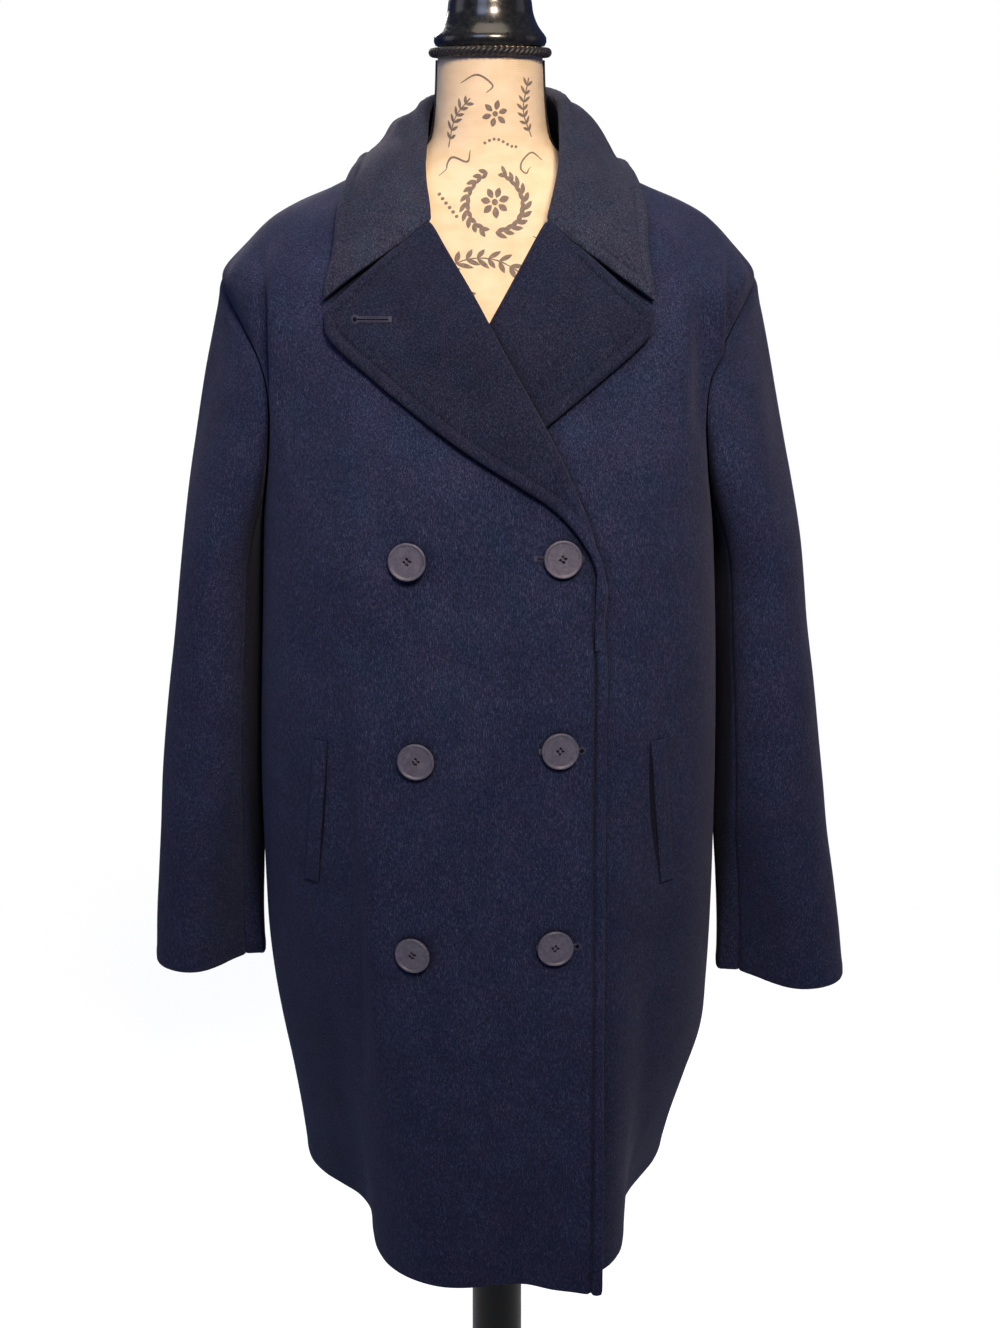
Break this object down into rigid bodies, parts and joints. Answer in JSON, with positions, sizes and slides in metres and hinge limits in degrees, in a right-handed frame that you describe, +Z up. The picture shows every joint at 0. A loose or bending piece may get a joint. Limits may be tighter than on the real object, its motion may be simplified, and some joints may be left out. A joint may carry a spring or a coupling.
{
  "type": "double-breasted wool pea coat on a limbless dress form",
  "caption": "Navy melton pea coat, double-breasted with wide lapels and slanted welt pockets, worn by a cream linen dress form with a turned black neck cap, on a post and round base.",
  "frame": {"origin": "on the floor, at the centre of the dress form's round base", "axes": "+Z up along the post, -Y out of the coat's front, +X to the wearer's left"},
  "size_m": [0.63, 0.38, 1.556],
  "materials": {
    "navy_melton": "thick fulled navy wool with a short raised nap, matte",
    "button_plastic": "grey-violet moulded plastic, satin",
    "linen": "cream plain-weave linen, printed in grey-brown ink",
    "black_paint": "glossy black enamel on turned wood and steel",
    "black_cord": "two-ply twisted black cord"
  },
  "bodies": {
    "root": {"back": "navy_melton", "front_left": "navy_melton", "front_right": "navy_melton", "lapel_left": "navy_melton", "lapel_right": "navy_melton", "facing_left": "navy_melton", "facing_right": "navy_melton", "upper_collar": "navy_melton", "under_collar": "navy_melton", "top_sleeve_left": "navy_melton", "top_sleeve_right": "navy_melton", "under_sleeve_left": "navy_melton", "under_sleeve_right": "navy_melton", "welt_left": "navy_melton", "welt_right": "navy_melton", "button_right_1": "button_plastic", "button_right_2": "button_plastic", "button_right_3": "button_plastic", "button_left_1": "button_plastic", "button_left_2": "button_plastic", "button_left_3": "button_plastic", "form_torso": "linen", "neck_cap": "black_paint", "neck_cord": "black_cord", "form_post": "black_paint", "form_base": "black_paint"}
  },
  "joints": []
}
